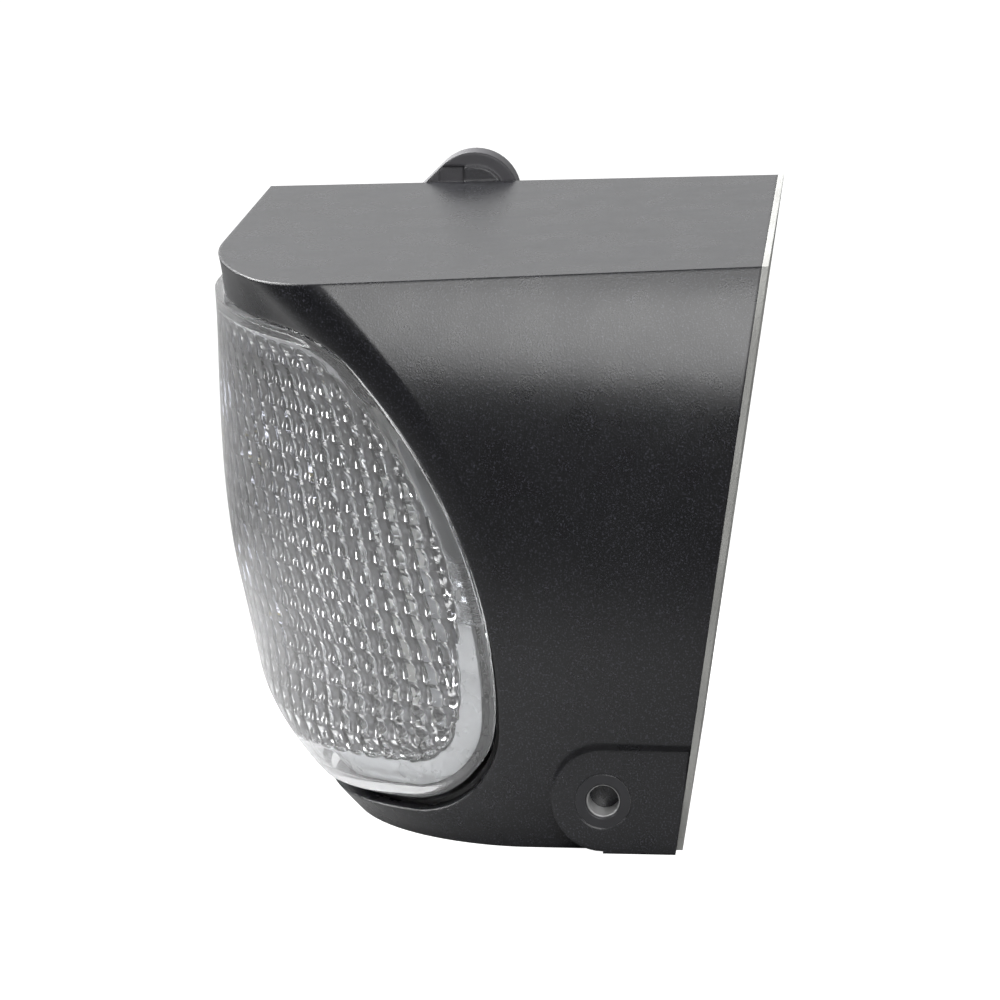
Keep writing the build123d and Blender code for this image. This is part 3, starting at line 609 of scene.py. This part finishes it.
def insideBy(y, z, outline):
    # distance of each point to the closed outline, positive inside
    starts, ends = outline, np.roll(outline, -1, axis=0)
    edge = ends - starts
    offset = np.stack([y.ravel(), z.ravel()], -1)[:, None, :] - starts
    share = np.clip((offset * edge).sum(-1) / (edge * edge).sum(-1), 0, 1)
    distance = np.linalg.norm(offset - share[..., None] * edge, axis=-1).min(1)
    py, pz = y.ravel()[:, None], z.ravel()[:, None]
    spans = (starts[:, 1] > pz) != (ends[:, 1] > pz)
    safe = np.where(edge[:, 1] == 0, 1, edge[:, 1])
    crosses = spans & (py < starts[:, 0] + (pz - starts[:, 1]) * edge[:, 0] / safe)
    inside = crosses.sum(1) % 2 == 1
    return np.where(inside, distance, -distance).reshape(y.shape)


def roundedBy(x, z, low, high, radius):
    # the same for the opening seen from the front: a box, rounded at the far corners
    middle = (low[1] + high) / 2
    outX = low[0] + radius - x
    outZ = np.abs(z - middle) - (high - low[1]) / 2 + radius
    corner = np.hypot(np.maximum(outX, 0), np.maximum(outZ, 0))
    return radius - corner - np.minimum(np.maximum(outX, outZ), 0)


def profileTable():
    # height against length down the front face, so that pillows keep their size over the chin
    z = np.linspace(0, 130, 1301)
    steps = np.hypot(np.diff(z), np.diff(frontY(z)))
    return z, np.concatenate([[0], np.cumsum(steps)])


def lensSheetPoints(along, z, inset):
    # the surface moved inwards by inset along its normal in plan
    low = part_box("lens")[0]
    x, y, normalX, normalY = shellPoint(along, z, low.x / mm)
    return np.stack([x - inset * normalX, y - inset * normalY, z], -1)


def edgeDistance(along, z, outline):
    # distance to the edge of the lens, positive inside, and the part of it that the side view gives
    low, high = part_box("lens")
    x, y, _, _ = shellPoint(along, z, low.x / mm)
    foot = lens["footGap"] * ease((lens["footZ"] - z) / lens["footFade"])
    side = insideBy(y, z, outline) - lens["shrink"] - foot
    front = roundedBy(x, z, (low.x / mm, lens["sillZ"]), high.z / mm, lens["cornerRound"])
    return np.minimum(side, front), side


def gridLines(first, last):
    # lines at the pillows' own spacing, with a narrow gap from each pillow to the next
    cells = np.arange(int(np.floor(first / lens["pitch"])), int(np.ceil(last / lens["pitch"])))
    inside = np.linspace(lens["riser"] / 2, 1 - lens["riser"] / 2, lens["facets"])
    return ((cells[:, None] + inside) * lens["pitch"]).ravel()


def snapToEdge(along, down, heights, lengths, outline):
    # moves points onto the outline: along the slope of the distance, by the distance
    step, rounds, flattest, furthest = 0.05, 5, 0.05, 1.5
    for _ in range(rounds):
        here = edgeDistance(along, np.interp(down, lengths, heights), outline)[0]
        right = edgeDistance(along + step, np.interp(down, lengths, heights), outline)[0]
        up = edgeDistance(along, np.interp(down + step, lengths, heights), outline)[0]
        slopeA, slopeD = (right - here) / step, (up - here) / step
        steep = np.maximum(slopeA**2 + slopeD**2, flattest)
        along = along - np.clip(here * slopeA / steep, -furthest, furthest)
        down = down - np.clip(here * slopeD / steep, -furthest, furthest)
    return along, down


def pillowHeights(shape, fromMargin):
    # sum of two parabolas, across and along the flute, with a sawtooth across; it dies out at the margin
    facets = lens["facets"]
    row, column = np.indices(shape)
    across = 2 * (column % facets) / (facets - 1) - 1
    lengthwise = 2 * (row % facets) / (facets - 1) - 1
    height = lens["pedestal"] + lens["crossBulge"] * (1 - across**2)
    height = height + lens["alongBulge"] * (1 - lengthwise**2)
    height = height + lens["lean"] * across * (lens["leanMean"] - lens["leanDrop"] * lengthwise)
    return height * ease(fromMargin / lens["fade"])


def buildLens():
    heights, lengths = profileTable()
    outline = openingOutline()
    top = np.interp(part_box("lens")[1].z / mm, heights, lengths)
    along = gridLines(*lens["span"])
    down = gridLines(0.0, top + lens["overTop"])
    alongGrid, downGrid = np.meshgrid(along, down)
    zGrid = np.interp(downGrid, lengths, heights)
    distance, side = edgeDistance(alongGrid, zGrid, outline)
    near, heel = lens["margin"]
    margin = near + (heel - near) * ease((lens["marginZ"] - zGrid) / lens["marginFade"])
    fromMargin = np.minimum(side - margin, distance - near)
    pillow = pillowHeights(alongGrid.shape, fromMargin)
    # grid cells with at least one point inside: their outer points are moved onto the outline
    inside = distance > lens["insideFrom"]
    count = alongGrid.size
    index = np.arange(count).reshape(alongGrid.shape)
    quads = np.stack([index[:-1, :-1], index[:-1, 1:], index[1:, 1:], index[1:, :-1]], -1).reshape(-1, 4)
    # steps between flutes, where the fluted field stands up: these faces get the painted shade of the lens
    # material
    betweenFlutes = np.arange(alongGrid.shape[1] - 1) % lens["facets"] == lens["facets"] - 1
    raised = fromMargin[:-1, :-1] > lens["fade"] / 2
    paintedShadeRisers = (betweenFlutes & raised).ravel()
    touched = inside.ravel()[quads].any(1)
    quads, paintedShadeRisers = quads[touched], paintedShadeRisers[touched]
    used = np.unique(quads)
    renumber = np.full(count, -1)
    renumber[used] = np.arange(len(used))
    quads = renumber[quads]
    a, d = alongGrid.ravel()[used], downGrid.ravel()[used]
    edge = ~inside.ravel()[used]
    a[edge], d[edge] = snapToEdge(a[edge], d[edge], heights, lengths, outline)
    z = np.interp(d, lengths, heights)
    toEdge = np.maximum(edgeDistance(a, z, outline)[0], 0)
    toEdge[edge] = 0
    skirt = lens["skirtDepth"] * (1 - ease((toEdge - lens["skirtFrom"]) / lens["skirtWidth"]))
    innerInset = lens["wall"] + skirt + pillow.ravel()[used] * (toEdge > 0)
    outer = lensSheetPoints(a, z, 0.0)
    inner = lensSheetPoints(a, z, innerInset)
    # rim: an edge used by one quad only joins the two sheets
    sides = np.stack([quads, np.roll(quads, -1, axis=1)], -1).reshape(-1, 2)
    key = np.sort(sides, axis=1)
    _, first, uses = np.unique(key, axis=0, return_index=True, return_counts=True)
    border = sides[first[uses == 1]]
    shift = len(used)
    rim = np.stack([border[:, 1], border[:, 0], border[:, 0] + shift, border[:, 1] + shift], -1)
    faces = np.vstack([quads, quads[:, ::-1] + shift, rim])
    piece = putMesh("lens_fluted", np.vstack([outer, inner]) * mm, faces)
    # per face: 1 where the riser's painted shade goes, 0 elsewhere
    dark = np.concatenate([np.zeros(len(quads)), paintedShadeRisers, np.zeros(len(rim))])
    piece.data.attributes.new("riser", "FLOAT", "FACE").data.foreach_set("value", dark.astype(np.float32))
    return piece


def putMesh(name, points, faces, sharp=28):
    mesh = bpy.data.meshes.new(name)
    mesh.vertices.add(len(points))
    mesh.vertices.foreach_set("co", points.astype(np.float32).ravel())
    mesh.loops.add(faces.size)
    mesh.loops.foreach_set("vertex_index", faces.astype(np.int32).ravel())
    mesh.polygons.add(len(faces))
    mesh.polygons.foreach_set("loop_start", (np.arange(len(faces)) * faces.shape[1]).astype(np.int32))
    mesh.update(calc_edges=True)
    mesh.validate()
    mesh.shade_smooth()
    mesh.set_sharp_from_angle(angle=radians(sharp))
    piece = bpy.data.objects.new(name, mesh)
    bpy.context.scene.collection.objects.link(piece)
    return piece


flutedLens = buildLens()
flutedLens.data.materials.append(finishes["lens_clear"])
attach(flutedLens, "lamp_housing")
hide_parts("lens")
print("lens:", len(flutedLens.data.polygons), "faces")
